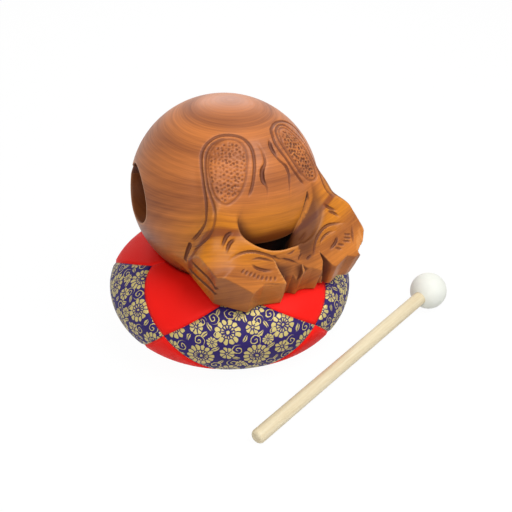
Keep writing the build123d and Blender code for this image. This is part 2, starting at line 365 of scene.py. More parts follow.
RIGHT_SCALES = (
    (16.3, 15.8, 55.7), (20.0, 11.9, 55.2), (25.0, 10.9, 53.3), (28.8, 14.8, 51.0), (31.2, 21.8, 47.8),
    (33.6, 28.0, 43.0), (34.1, 34.7, 39.4), (33.6, 39.2, 36.4), (31.3, 41.1, 34.9), (27.7, 40.7, 35.6),
    (23.7, 38.5, 39.2), (20.6, 33.8, 44.4), (17.5, 27.8, 49.5), (15.6, 22.0, 53.2),
)
BELLY_CUTS = (
    (0.9, 0.75, ((-2.4, 19.4, 56.4), (-1.3, 23.2, 54.6), (-1.5, 27.5, 52.4), (-2.5, 30.5, 50.6),
                 (-6.0, 33.7, 48.3), (-7.2, 37.7, 45.2), (-6.1, 40.8, 42.7), (-6.5, 44.0, 39.5),
                 (-9.2, 47.2, 35.1))),
    (1.4, 1.5, ((-2.5, 30.5, 50.6), (-6.0, 33.7, 48.3), (-7.2, 37.7, 45.2), (-6.1, 40.7, 42.8))),
    (0.9, 0.75, ((6.7, 18.7, 56.3), (5.6, 23.8, 53.9), (7.0, 29.6, 50.7), (11.0, 34.2, 47.1),
                 (11.7, 38.0, 44.1), (10.8, 41.0, 41.6), (9.4, 45.1, 37.7), (8.7, 48.0, 34.3))),
    (1.3, 1.3, ((6.7, 18.7, 56.3), (5.6, 23.8, 53.9), (7.0, 29.6, 50.7))),
    (1.1, 1.0, ((8.7, 31.2, 49.3), (11.0, 34.2, 47.1), (11.7, 38.0, 44.1), (11.2, 40.6, 41.9))),
)
HEAD_CUTS = (
    (1.1, 1.1, ((-32.1, 51.6, 25.0), (-36.2, 51.9, 23.4), (-41.0, 55.6, 18.9))),
    (1.1, 1.0, ((-31.8, 55.0, 22.8), (-36.0, 55.7, 21.0), (-40.1, 59.7, 17.9))),
    (0.9, 0.8, ((33.1, 53.3, 24.8), (35.9, 56.2, 23.5), (40.7, 59.4, 22.0))),
    (0.9, 0.8, ((33.8, 56.8, 22.7), (37.5, 59.2, 21.4), (41.0, 62.4, 19.6))),
    (0.9, 0.85, ((-41.1, 64.1, 17.1), (-35.1, 62.6, 17.8), (-28.5, 63.2, 18.3), (-22.9, 65.6, 18.3),
                 (-17.2, 68.6, 16.7), (-10.8, 71.4, 13.4), (-4.2, 74.1, 9.9))),
    (0.8, 0.6, ((-28.8, 66.7, 14.2), (-22.6, 67.9, 15.0), (-17.5, 70.2, 14.0), (-12.2, 72.7, 12.0))),
    (0.9, 0.8, ((-27.5, 68.2, 13.0), (-24.4, 71.0, 10.7), (-19.3, 73.6, 9.1), (-13.4, 75.3, 8.4))),
    (0.7, 0.5, ((-24.2, 78.8, 4.3), (-16.9, 80.8, 3.0), (-10.3, 82.6, 1.8))),
    (1.0, 1.0, ((43.8, 66.3, 17.1), (37.9, 64.6, 17.1), (30.9, 63.8, 16.8), (23.8, 66.3, 15.8),
                (18.8, 70.0, 13.0), (16.7, 73.3, 9.7), (13.8, 76.8, 6.8))),
    (0.8, 0.7, ((36.6, 67.6, 14.4), (30.5, 67.1, 13.7), (24.9, 69.0, 12.5), (21.8, 71.8, 10.2))),
    (1.0, 1.0, ((36.0, 70.1, 12.2), (33.6, 72.8, 9.5), (28.1, 74.8, 7.2))),
    (0.8, 0.6, ((47.7, 67.6, 17.1), (45.9, 73.0, 12.2), (44.9, 78.7, 7.4))),
    (0.8, 0.7, ((10.9, 64.0, 9.3), (13.2, 63.3, 11.5), (15.5, 62.6, 13.7), (17.5, 61.8, 15.5))),
    (0.8, 0.7, ((13.0, 67.3, 14.9), (9.9, 69.1, 16.0), (6.2, 70.8, 15.8))),
    (0.8, 0.7, ((-9.0, 72.6, 13.2), (-3.8, 73.7, 11.4), (2.6, 76.2, 8.0))),
    (0.8, 0.6, ((2.3, 71.3, 16.5), (-0.8, 72.3, 15.4), (-5.7, 72.0, 15.0))),
    (0.8, 0.7, ((7.0, 73.1, 12.6), (4.5, 74.5, 10.9), (3.8, 75.5, 9.5))),
    (0.8, 0.7, ((14.9, 74.4, 8.6), (12.2, 75.2, 8.6), (8.8, 76.2, 8.1))),
)
NICKS = (
    ((-35.0, 70.9, 11.0), (-31.8, 69.5, 11.7)), ((-32.9, 72.1, 9.8), (-29.7, 70.7, 10.7)),
    ((-30.4, 73.2, 8.6), (-27.6, 71.9, 9.7)), ((-28.1, 74.5, 7.6), (-25.6, 73.0, 8.9)),
    ((-25.9, 75.8, 6.6), (-23.6, 74.2, 8.1)), ((-23.5, 76.9, 5.9), (-21.4, 75.3, 7.3)),
    ((-20.8, 78.0, 5.3), (-19.1, 76.4, 6.7)), ((-18.0, 78.9, 4.8), (-16.7, 77.3, 6.3)),
    ((-15.1, 79.6, 4.6), (-14.2, 78.1, 5.8)), ((40.2, 70.8, 12.6), (45.4, 73.0, 12.1)),
    ((39.6, 72.2, 11.3), (44.8, 74.6, 10.7)), ((38.5, 73.4, 10.1), (43.6, 75.8, 9.4)),
    ((34.6, 73.8, 8.9), (39.0, 75.9, 8.2)), ((32.4, 74.9, 7.7), (36.6, 77.0, 6.8)),
)
SIDE_FINS = (
    ((-50.1, 44.0, -2.3), (-49.8, 52.0, -0.4), (-49.3, 61.7, 1.6), (-46.5, 68.5, -0.2)),
    ((-48.8, 41.3, -11.8), (-48.3, 51.3, -9.9), (-48.0, 62.3, -6.4), (-46.0, 68.0, -5.6)),
    ((-48.3, 36.8, 6.1), (-49.3, 36.9, -0.5), (-49.7, 37.5, -8.8)),
)


# Each stroke's radius, depth and fading share of its length.
RIM_STROKE = (1.1, 0.75, 0.05)
INNER_RIM_STROKE = (1.0, 0.65, 0.05)
SCALE_EDGE_STROKE = (1.1, 0.5, 0.001)
FIN_STROKE = (1.3, 1.2, 0.1)
NICK_STROKE = (0.65, 0.6, 0.3)
CUT_FADE = 0.45

# The pits of the scale panels.
PIT_GAP = 2.4
PIT_ROW = 0.87 * PIT_GAP
PIT_SHIFT = 0.22
PIT_RADIUS = (0.85, 1.05)
PIT_SHALLOWEST = 0.6
LEFT_PIT_DEPTH = 0.68
RIGHT_PIT_DEPTH = 0.9
PANEL_SHARE = 0.92


def scale_pits(edge, rng):
    """Points in staggered rows inside a closed line on the surface."""
    edge = np.array(edge)
    middle = edge.mean(0)
    up = middle / np.linalg.norm(middle)
    along = np.array([0.0, 1.0, 0.0]) - up * up[1]
    along /= np.linalg.norm(along)
    across = np.cross(along, up)
    inner = np.stack([(edge - middle) @ across, (edge - middle) @ along], 1) * PANEL_SHARE
    low = inner.min(0)
    high = inner.max(0)
    pits = []
    for row, v in enumerate(np.arange(low[1], high[1], PIT_ROW)):
        for u in np.arange(low[0], high[0], PIT_GAP) + (row % 2) * PIT_GAP / 2:
            crossings = 0
            for (ax, ay), (bx, by) in zip(inner, np.roll(inner, -1, 0)):
                if (ay > v) != (by > v) and u < ax + (v - ay) * (bx - ax) / (by - ay):
                    crossings += 1
            if crossings % 2:
                shift = rng.uniform(-PIT_SHIFT, PIT_SHIFT, 2) * PIT_GAP
                pits.append(middle + across * (u + shift[0]) + along * (v + shift[1]))
    return pits


def carving():
    """Every cut in the surface."""
    rng = np.random.default_rng(11)
    cuts = [Stroke(LEFT_RIM, *RIM_STROKE), Stroke(LEFT_INNER_RIM, *INNER_RIM_STROKE)]
    cuts += [Stroke(RIGHT_RIM, *RIM_STROKE), Stroke(RIGHT_INNER_RIM, *INNER_RIM_STROKE)]
    for edge, deepest in ((LEFT_SCALES, LEFT_PIT_DEPTH), (RIGHT_SCALES, RIGHT_PIT_DEPTH)):
        cuts.append(Stroke(edge + edge[:1], *SCALE_EDGE_STROKE))
        for pit in scale_pits(edge, rng):
            radius = rng.uniform(*PIT_RADIUS)
            cuts.append(Stroke((pit,), radius, deepest * rng.uniform(PIT_SHALLOWEST, 1.0)))
    for radius, depth, line in BELLY_CUTS + HEAD_CUTS:
        cuts.append(Stroke(line, radius, depth, CUT_FADE))
    cuts += [Stroke(line, *FIN_STROKE) for line in SIDE_FINS]
    cuts += [Stroke(line, *NICK_STROKE) for line in NICKS]
    return cuts


CUTS = carving()


def finished_distance(points):
    """The finished fish's distance near these points, as a function that knows each point's cuts."""
    by = []
    for cut in CUTS:
        by.append(np.flatnonzero(((points > cut.low) & (points < cut.high)).all(1)))

    def distance_at(x, f, z):
        distance = form_distance(x, f, z)
        for cut, near in zip(CUTS, by):
            if len(near):
                distance[near] = cut.cut(distance[near], x[near], f[near], z[near])
        return hollowed(distance, x, f, z)

    return distance_at


# The carved fish's mesh, and what its painted shade looks at, in mm.
GRID = 0.6
FIELD_LIMITS = ((-63, 63), (-63, 91), (-63, 66))
MOST_TRIANGLES = 190000
MOST_STEP = 0.4
# How far round each point the painted shade in crevices looks.
LOOK_AROUND = (2.0, 5.0, 10.0, 20.0)
# The depth of cut at which the painted shade in the cuts is full.
FULL_CUT_SHADE_DEPTH = 0.8


def fish_field():
    """The finished fish on a grid: its values and the grid's three axes."""
    axes = [np.arange(low, high, GRID) for low, high in FIELD_LIMITS]
    x, f, z = np.meshgrid(*axes, indexing="ij", sparse=True)
    distance = form_distance(x, f, z)
    for cut in CUTS:
        limits = zip(axes, cut.low, cut.high)
        part = tuple(slice(*np.searchsorted(axis, (low, high))) for axis, low, high in limits)
        distance[part] = cut.cut(distance[part], x[part[0]], f[:, part[1]], z[:, :, part[2]])
    return hollowed(distance, x, f, z), axes


def surface_net(field, axes):
    """Points and four-sided faces where the field crosses zero."""
    inside = field < 0
    shape = tuple(n - 1 for n in field.shape)
    corners = list(itertools.product((0, 1), repeat=3))

    def corner(array, at):
        return array[tuple(slice(a, a + n) for a, n in zip(at, shape))]

    count = sum(corner(inside, at).astype(np.int8) for at in corners)
    mixed = (count > 0) & (count < 8)
    cells = np.argwhere(mixed)
    values = np.stack([corner(field, at)[mixed] for at in corners], 1)
    total = np.zeros((len(cells), 3))
    hits = np.zeros(len(cells))
    for (i, a), (j, b) in itertools.combinations(enumerate(corners), 2):
        if sum(abs(p - q) for p, q in zip(a, b)) != 1:
            continue
        crossing = (values[:, i] < 0) != (values[:, j] < 0)
        t = values[crossing, i] / (values[crossing, i] - values[crossing, j])
        total[crossing] += np.array(a) + t[:, None] * (np.array(b) - np.array(a))
        hits[crossing] += 1
    points = (cells + total / hits[:, None]) * GRID + np.array([axis[0] for axis in axes])
    number = np.full(shape, -1)
    number[mixed] = np.arange(len(cells))
    faces = []
    for axis in range(3):
        others = [n for n in range(3) if n != axis]
        first = [slice(None)] * 3
        second = [slice(None)] * 3
        first[axis] = slice(0, -1)
        second[axis] = slice(1, None)
        change = inside[tuple(first)] != inside[tuple(second)]
        starts = inside[tuple(first)]
        at = np.argwhere(change)
        keep = (at[:, others] > 0).all(1) & (at[:, others] < np.array(shape)[others]).all(1)
        at = at[keep]
        quad = []
        for back in ((0, 0), (1, 0), (1, 1), (0, 1)):
            cell = at.copy()
            cell[:, others[0]] -= back[0]
            cell[:, others[1]] -= back[1]
            quad.append(number[tuple(cell.T)])
        quad = np.stack(quad, 1)
        turned = starts[tuple(at.T)] != (axis == 1)
        quad[turned] = quad[turned][:, ::-1]
        faces.append(quad[:, ::-1])
    return points, np.vstack(faces)


def to_row(points):
    """From the fish's own frame to the row's, in mm."""
    x, f, z = points.T
    y = FISH_BACK - f * math.cos(PITCH) - z * math.sin(PITCH)
    return np.stack([x, y, FISH_HEIGHT - f * math.sin(PITCH) + z * math.cos(PITCH)], 1)


def from_row(points):
    """From the row's frame to the fish's own, in mm."""
    x, y, z = points.T
    back = FISH_BACK - y
    up = z - FISH_HEIGHT
    f = back * math.cos(PITCH) - up * math.sin(PITCH)
    return np.stack([x, f, back * math.sin(PITCH) + up * math.cos(PITCH)], 1)


def mesh_object(name, points, faces):
    """A smooth-shaded object from points in mm, in the row frame."""
    mesh = bpy.data.meshes.new(name)
    mesh.from_pydata((points * MM).tolist(), [], faces.tolist())
    mesh.validate()
    mesh.polygons.foreach_set("use_smooth", [True] * len(mesh.polygons))
    mesh.update()
    made = bpy.data.objects.new(name, mesh)
    bpy.context.scene.collection.objects.link(made)
    return made


def applied(obj):
    """Gives obj the mesh that its modifiers make, and takes the modifiers off."""
    graph = bpy.context.evaluated_depsgraph_get()
    mesh = bpy.data.meshes.new_from_object(obj.evaluated_get(graph))
    obj.modifiers.clear()
    obj.data = mesh


def wood_masks(own):
    """What the wood's colour follows: painted shade in the cuts, in crevices and recesses, in the finger
    pocket and on faces turned sideways or down, and lighter edges that are partly rubbed wear and partly a
    painted highlight.
    """
    finished = finished_distance(own)
    slope = gradient(finished, own)
    x, f, z = own.T
    radial = from_centre(x, f, z)
    # Painted shade in crevices and recesses: the more the wood closes in round a point, the darker it is.
    crevice_shade = np.zeros(len(own))
    for reach in LOOK_AROUND:
        away = own + slope * reach
        room = hollowed(form_distance(*away.T), *away.T)
        crevice_shade += np.clip(1 - room / reach, 0, 1) / len(LOOK_AROUND)
    # Painted shade on the walls of the finger hole and in the valley between the heads.
    wall = 1 - ease(0.85, np.where(x > 5, 1.5, 1.15), finger_ring(x, f))
    wall *= ease(0.5, 2.0, radial - BODY_RADIUS)
    valley = np.exp(-(((x - 12) / 10) ** 2)) * ease(60, 67, f)
    # Painted shadow: the finger pocket under the belly goes near black.
    in_pocket = (finger_pocket(x, f, z, radial) < 0.6) & (radial < BODY_RADIUS - 1.0)
    # Edges that stand out are lightened, partly as rubbed wear and partly as a painted highlight; the
    # crease on the left head is left out.
    edge_wear_and_highlight = np.clip(1 + finished(*(own - slope).T), 0, 1)
    left_crease = (x < -34) * ease(54, 58, f) * (1 - ease(69, 71, f))
    # Painted shade on faces turned sideways or down, and on the heads' front faces that turn to the left.
    up = slope[:, 2]
    facet = ease(62, 70, f) * (1 - ease(0.25, 0.65, up)) * ease(0.15, 0.55, -slope[:, 0])
    return {
        # Painted shade in the carved cuts and pits, darker the further they go below the uncarved surface.
        "cut_shade": np.clip(-form_distance(*own.T) / FULL_CUT_SHADE_DEPTH, 0, 1),
        "crevice_shade": np.maximum(crevice_shade, 0.6 * wall) + 0.22 * valley,
        "pocket_shade": in_pocket * 1.0,
        "edge_wear_and_highlight": edge_wear_and_highlight * (1 - left_crease),
        "side_and_under_shade": np.maximum(1.3 - 1.3 * ease(-0.7, 0.15, up), 0.6 * facet),
    }


def carved_fish():
    """The whole carving as one closed mesh, with the masks for its wood's colour, most of them painted
    shade.
    """
    field, axes = fish_field()
    points, faces = surface_net(field, axes)
    finished = finished_distance(points)
    for _ in range(2):
        slope = gradient(finished, points)
        step = np.clip(finished(*points.T), -MOST_STEP, MOST_STEP)
        points = points - slope * step[:, None]
    fish = mesh_object("wooden_fish_carved", to_row(points), faces)
    thin = fish.modifiers.new("thin", "DECIMATE")
    thin.ratio = min(1.0, MOST_TRIANGLES / (2 * len(faces)))
    applied(fish)
    coords = np.empty(len(fish.data.vertices) * 3)
    fish.data.vertices.foreach_get("co", coords)
    for name, values in wood_masks(from_row(coords.reshape(-1, 3) / MM)).items():
        layer = fish.data.attributes.new(name, "FLOAT", "POINT")
        layer.data.foreach_set("value", values)
    fish.data.polygons.foreach_set("use_smooth", [True] * len(fish.data.polygons))
    return fish


# The cushion: fifteen four-sided patches, five round each end and five between.
PATCHES_ROUND = 5
FIRST_SEAM = -82.0
CUSHION_RADIUS = 80.0
EQUATOR = 29.0
CROWN = 54.2
CROWN_RADIUS = 47.0
BASE_RADIUS = 52.0
TIP_RADIUS = 54.0
SEAT_RADIUS = 60.3
SEAT_REACH = 45.0
SEAM_PULL = 0.7
CROSSING_RISE = 3.0
CLOTH = 1.0
UNDER_CLOTH = 1.3
CLEAR_OF_WOOD = 0.45
SIDE = 30
WELDS_PER_MM = 20
PROFILE_STEPS = 200
MOST_PUFF = 2.4
PUFF_FRAMES = 20


def cushion_profile():
    """Length, radius and height along the profile, from the top's middle to the base's."""
    t = np.linspace(0, 1, PROFILE_STEPS)
    quarter = t[1:] * math.pi / 2
    upper = CUSHION_RADIUS - CROWN_RADIUS
    lower = CUSHION_RADIUS - BASE_RADIUS
    radius = [t * CROWN_RADIUS, CROWN_RADIUS + upper * np.sin(quarter)]
    height = [np.full_like(t, CROWN), EQUATOR + (CROWN - EQUATOR) * np.cos(quarter)]
    radius += [BASE_RADIUS + lower * np.cos(quarter), BASE_RADIUS * (1 - t[1:])]
    height += [EQUATOR - EQUATOR * np.sin(quarter), np.zeros(len(t) - 1)]
    line = np.stack([np.concatenate(radius), np.concatenate(height)], 1)
    length = np.concatenate([[0], np.cumsum(np.linalg.norm(np.diff(line, axis=0), axis=1))])
    return length, line[:, 0], line[:, 1]


# Places along the profile: its widest point, the seams' crossings and the patches' tips.
LENGTH, RADIUS, HEIGHT = cushion_profile()
UPPER_HALF = 2 * PROFILE_STEPS - 1
WIDEST_AT = float(LENGTH[UPPER_HALF - 1])
CROSSING_AT = WIDEST_AT - CROSSING_RISE
TOP_TIP_AT = float(np.interp(TIP_RADIUS, RADIUS[:UPPER_HALF], LENGTH[:UPPER_HALF]))
BASE_TIP_AT = float(np.interp(TIP_RADIUS, RADIUS[UPPER_HALF:][::-1], LENGTH[UPPER_HALF:][::-1]))


def cushion_point(angle, s):
    """Points on the cushion, with the bowl that the fish sits in."""
    r = np.interp(s, LENGTH, RADIUS)
    z = np.interp(s, LENGTH, HEIGHT)
    x = r * np.cos(angle)
    y = r * np.sin(angle)
    room = SEAT_RADIUS ** 2 - x ** 2 - (y - FISH_BACK) ** 2
    bowl = FISH_HEIGHT - np.sqrt(np.maximum(room, 1.0))
    seated = (s < WIDEST_AT) & (room > 1.0)
    z = np.where(seated, smooth_min(z, bowl, 2.0), z)
    return np.stack([x, y, z], -1)


def patch_grid(kind, number):
    """One patch between its seams: angle, length along the profile and place on the flat cloth."""
    t = np.linspace(0, 1, SIDE + 1)
    u, v = np.meshgrid(t, t, indexing="ij")
    crossing = math.radians(FIRST_SEAM + 360 / PATCHES_ROUND * number)
    half = math.pi / PATCHES_ROUND
    if kind == "brocade":
        angle = crossing + half * (u + v)
        up = TOP_TIP_AT - CROSSING_AT
        down = BASE_TIP_AT - CROSSING_AT
        s = CROSSING_AT + up * u * (1 - v) + down * v * (1 - u)
        width = np.interp(s, LENGTH, RADIUS) * (angle - crossing - half)
        return angle, s, np.stack([width, s - CROSSING_AT], -1)
    end = 0.0 if kind == "top" else LENGTH[-1]
    tip = abs((TOP_TIP_AT if kind == "top" else BASE_TIP_AT) - end)
    far = abs(CROSSING_AT - end)

    def flat(angle, length):
        return np.stack([length * np.cos(angle), length * np.sin(angle)], -1)

    edge_u0 = flat(crossing + half + 0 * t, tip * t)
    edge_v0 = flat(crossing - half + 0 * t, tip * t)
    edge_u1 = flat(crossing - half * (1 - t), tip + (far - tip) * t)
    edge_v1 = flat(crossing + half * (1 - t), tip + (far - tip) * t)
    u = u[..., None]
    v = v[..., None]
    spread = (1 - v) * edge_v0[:, None] + v * edge_v1[:, None]
    spread = spread + (1 - u) * edge_u0[None] + u * edge_u1[None]
    spread = spread - (u * (1 - v) * edge_v0[-1] + v * (1 - u) * edge_u0[-1] + u * v * edge_u1[-1])
    length = np.linalg.norm(spread, axis=-1)
    angle = np.arctan2(spread[..., 1], spread[..., 0])
    return angle, length if kind == "top" else end - length, spread


def cushion_patches():
    """The fifteen grids, welded into one closed sheet: its points, and each patch's numbers and cloth."""
    patches = {}
    cloth = {}
    places = {}
    points = []
    for kind, number in itertools.product(("top", "brocade", "base"), range(PATCHES_ROUND)):
        angle, s, flat = patch_grid(kind, number)
        grid = cushion_point(angle, s)
        numbers = np.empty(angle.shape, int)
        for at in np.ndindex(angle.shape):
            key = tuple(np.round(grid[at] * WELDS_PER_MM).astype(int))
            if key not in places:
                places[key] = len(points)
                points.append(grid[at])
            numbers[at] = places[key]
        side = np.cross(grid[-1, -1] - grid[0, 0], grid[0, -1] - grid[-1, 0])
        inwards = side @ (grid.mean((0, 1)) - np.array([0, 0, EQUATOR])) < 0
        patches[kind, number] = numbers.T if inwards else numbers
        cloth[kind, number] = flat.transpose(1, 0, 2) if inwards else flat
    return np.array(points), patches, cloth


def grid_faces(numbers):
    corners = (numbers[:-1, :-1], numbers[1:, :-1], numbers[1:, 1:], numbers[:-1, 1:])
    return np.stack([c.ravel() for c in corners], 1)


def sheet_slope(points, faces):
    """The outward direction at each point of a welded sheet."""
    a, b, c, d = (points[faces[:, n]] for n in range(4))
    normal = np.cross(c - a, d - b)
    total = np.zeros_like(points)
    for n in range(4):
        np.add.at(total, faces[:, n], normal)
    return total / np.maximum(np.linalg.norm(total, axis=1, keepdims=True), 1e-9)


def puffed(points, faces, held):
    """Blows the sheet up by cloth simulation with some points held, and tells how far each point went."""
    bag = mesh_object("puffing", points, faces)
    group = bag.vertex_groups.new(name="held")
    group.add(np.flatnonzero(held).tolist(), 1.0, "REPLACE")
    cloth = bag.modifiers.new("puff", "CLOTH")
    settings = cloth.settings
    settings.quality = 6
    settings.mass = 0.25
    settings.tension_stiffness = 12.0
    settings.compression_stiffness = 12.0
    settings.shear_stiffness = 4.0
    settings.bending_stiffness = 0.4
    settings.vertex_group_mass = "held"
    settings.use_pressure = True
    settings.uniform_pressure_force = 5.0
    settings.effector_weights.gravity = 0.0
    cloth.collision_settings.use_collision = False
    cloth.point_cache.frame_start = 1
    cloth.point_cache.frame_end = PUFF_FRAMES
    for number in range(1, PUFF_FRAMES + 1):
        bpy.context.scene.frame_set(number)
    graph = bpy.context.evaluated_depsgraph_get()
    mesh = bag.evaluated_get(graph).to_mesh()
    coords = np.empty(len(points) * 3)
    mesh.vertices.foreach_get("co", coords)
    bpy.data.objects.remove(bag)
    bpy.context.scene.frame_set(1)
    return coords.reshape(-1, 3) / MM - points


def sewn_cushion():
    """The welded sheet, pulled in at its seams, puffed between them and kept clear of the fish."""
    points, patches, cloth = cushion_patches()
    faces = np.vstack([grid_faces(numbers) for numbers in patches.values()])
    outward = sheet_slope(points, faces)
    on_seam = np.zeros(len(points), bool)
    for numbers in patches.values():
        for edge in (numbers[0], numbers[-1], numbers[:, 0], numbers[:, -1]):
            on_seam[edge] = True
    x, y, z = points.T
    seated = (np.hypot(x, y - FISH_BACK) < SEAT_REACH) & (z > EQUATOR)
    resting = (np.hypot(x, y) < BASE_RADIUS) & (z < EQUATOR)
    pull = np.where(on_seam & ~seated & ~resting, SEAM_PULL, 0.0)
    points = points - outward * pull[:, None]
    move = puffed(points, faces, on_seam | seated | resting)
    size = np.linalg.norm(move, axis=1, keepdims=True)
    points = points + move * np.minimum(1.0, MOST_PUFF / np.maximum(size, 1e-6))
    points[:, 2] = np.maximum(points[:, 2], 0.0)
    for _ in range(3):
        own = from_row(points)
        push = np.maximum(CLEAR_OF_WOOD - form_distance(*own.T), 0.0) * (points[:, 2] > EQUATOR)
        away = to_row(gradient(form_distance, own)) - to_row(np.zeros((1, 3)))
        points = points + away * push[:, None]
    return points, sheet_slope(points, faces), patches, faces, cloth


def cloth_patch(name, points, outward, numbers, flat):
    """One patch as thin closed cloth with its flat place in cm as UV map, its flat size and its area."""
    local = np.arange(numbers.size).reshape(numbers.shape)
    outer = points[numbers.ravel()]
    inner = outer - outward[numbers.ravel()] * CLOTH
    top = grid_faces(local)
    loop = np.concatenate([local[:, 0], local[-1, 1:], local[-2::-1, -1], local[0, -2:0:-1]])
    after = np.roll(loop, -1)
    rim = np.stack([after, loop, loop + numbers.size, after + numbers.size], 1)
    faces = np.vstack([top, top[:, ::-1] + numbers.size, rim])
    made = mesh_object(name, np.vstack([outer, inner]), faces)
    flat = flat.reshape(-1, 2)
    layer = made.data.uv_layers.new(name="cloth")
    vertex = np.empty(len(made.data.loops), int)
    made.data.loops.foreach_get("vertex_index", vertex)
    layer.data.foreach_set("uv", (flat[vertex % numbers.size] / 10).ravel())
    edge = flat[loop]
    after = np.roll(edge, -1, 0)
    area = abs((edge[:, 0] * after[:, 1] - edge[:, 1] * after[:, 0]).sum()) / 2
    return made, np.ptp(edge, axis=0), area


class Term:
    """A shader socket that takes part in sums."""

    def __init__(self, nodes, socket):
        self.nodes = nodes
        self.socket = socket

    def maths(self, operation, *others):
        return self.nodes.maths(operation, self, *others)

    def __add__(self, other):
        return self.maths("ADD", other)

    def __radd__(self, other):
        return self.nodes.maths("ADD", other, self)

    def __sub__(self, other):
        return self.maths("SUBTRACT", other)

    def __rsub__(self, other):
        return self.nodes.maths("SUBTRACT", other, self)

    def __mul__(self, other):
        return self.maths("MULTIPLY", other)

    def __rmul__(self, other):
        return self.nodes.maths("MULTIPLY", other, self)

    def __truediv__(self, other):
        return self.maths("DIVIDE", other)

    def __rtruediv__(self, other):
        return self.nodes.maths("DIVIDE", other, self)

    def __pow__(self, other):
        return self.maths("POWER", other)

    def __rpow__(self, other):
        return self.nodes.maths("POWER", other, self)


class Nodes:
    """A node tree that grows by expressions."""

    def __init__(self, tree):
        self.tree = tree

    def feed(self, socket, value):
        if isinstance(value, Term):
            self.tree.links.new(value.socket, socket)
        else:
            socket.default_value = value

    def node(self, kind, settings=None, sockets=None, output=0):
        made = self.tree.nodes.new(kind)
        for key, value in (settings or {}).items():
            setattr(made, key, value)
        for key, value in (sockets or {}).items():
            self.feed(made.inputs[key], value)
        return Term(self, made.outputs[output])

    def maths(self, operation, *values):
        return self.node("ShaderNodeMath", {"operation": operation}, dict(enumerate(values)))

    def seen_rays(self):
        """1 for rays that show a background: straight, mirrored or through glass."""
        seen = self.node("ShaderNodeLightPath", output="Is Camera Ray")
        for ray in ("Is Glossy Ray", "Is Transmission Ray"):
            seen = seen.maths("MAXIMUM", self.node("ShaderNodeLightPath", output=ray))
        return seen


class Finish(Nodes):
    """One procedural material."""

    def __init__(self, name, **constants):
        self.material = bpy.data.materials.new(name)
        self.material.use_nodes = True
        super().__init__(self.material.node_tree)
        self.shader = self.tree.nodes["Principled BSDF"]
        for socket, value in constants.items():
            self.shader.inputs[socket.replace("_", " ")].default_value = value

    def place(self, space="Object"):
        return self.node("ShaderNodeTexCoord", output=space)

    def mask(self, name):
        return self.node("ShaderNodeAttribute", {"attribute_name": name}, output="Fac")

    def vector(self, operation, *values, output=0):
        settings = {"operation": operation}
        return self.node("ShaderNodeVectorMath", settings, dict(enumerate(values)), output)

    def along(self, place, direction):
        return self.vector("DOT_PRODUCT", place, direction, output="Value")

    def mixed(self, share, first, second):
        """A blend of two colours. A Mix node's colour sockets go by number."""
        sockets = {0: share, 6: first, 7: second}
        return self.node("ShaderNodeMix", {"data_type": "RGBA"}, sockets, 2)

    def between(self, value, low, high):
        """0 at low, 1 at high, smooth between."""
        settings = {"interpolation_type": "SMOOTHSTEP"}
        sockets = {"Value": value, "From Min": low, "From Max": high}
        return self.node("ShaderNodeMapRange", settings, sockets)

    def noise(self, vector, scale, detail=3.0, rough=0.5):
        sockets = {"Vector": vector, "Scale": scale, "Detail": detail, "Roughness": rough}
        return self.node("ShaderNodeTexNoise", None, sockets)

    def sine(self, value, step):
        """A wave of this step, from -1 to 1."""
        return (value * (2 * math.pi / step)).maths("SINE")

    def bump(self, height, strength, distance):
        sockets = {"Strength": strength, "Distance": distance, "Height": height}
        self.feed(self.shader.inputs["Normal"], self.node("ShaderNodeBump", None, sockets))

    def paint(self, colour, roughness):
        self.feed(self.shader.inputs["Base Color"], colour)
        self.feed(self.shader.inputs["Roughness"], roughness)


def shade(red, green, blue):
    """A colour from its 0 to 255 screen values."""
    parts = []
    for value in (red, green, blue):
        c = value / 255
        parts.append(c / 12.92 if c <= 0.04045 else ((c + 0.055) / 1.055) ** 2.4)
    return (*parts, 1.0)


# The camphor log's heart, its yearly rings and its broader waves of tone, in m.
LOG_HEART = (0.004, 0.026, FISH_HEIGHT * MM)
YEAR_RING = 0.0027
BROAD_RING = 0.019
BROAD_RING_START = BROAD_RING / (2 * math.pi)


